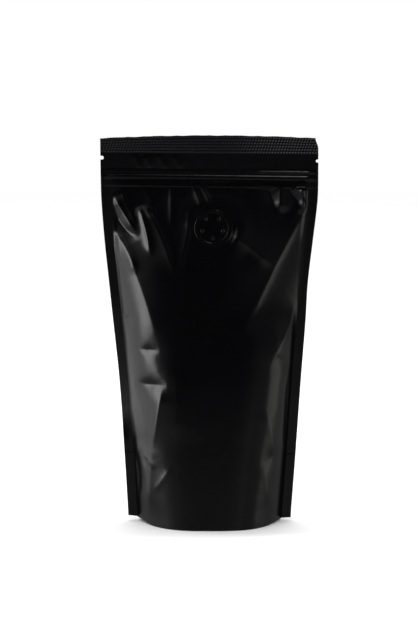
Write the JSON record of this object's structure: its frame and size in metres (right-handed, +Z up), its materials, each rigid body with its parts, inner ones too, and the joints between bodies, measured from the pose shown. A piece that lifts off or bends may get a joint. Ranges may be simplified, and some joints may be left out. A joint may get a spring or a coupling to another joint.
{
  "type": "coffee bag",
  "caption": "Filled matt black stand-up coffee pouch with a crimped top seal, tear notches, a closing strip and a one-way valve.",
  "frame": {"origin": "centre of the pouch's footprint, on the surface that it stands on", "axes": "+X across the pouch, -Y out of its front with the valve, +Z up to the crimped top seal"},
  "size_m": [0.1302, 0.0604, 0.234],
  "materials": {
    "film": "matt black laminated film",
    "valve_plastic": "satin black moulded plastic"
  },
  "bodies": {
    "root": {"pouch": "film", "valve": "valve_plastic"}
  },
  "joints": []
}
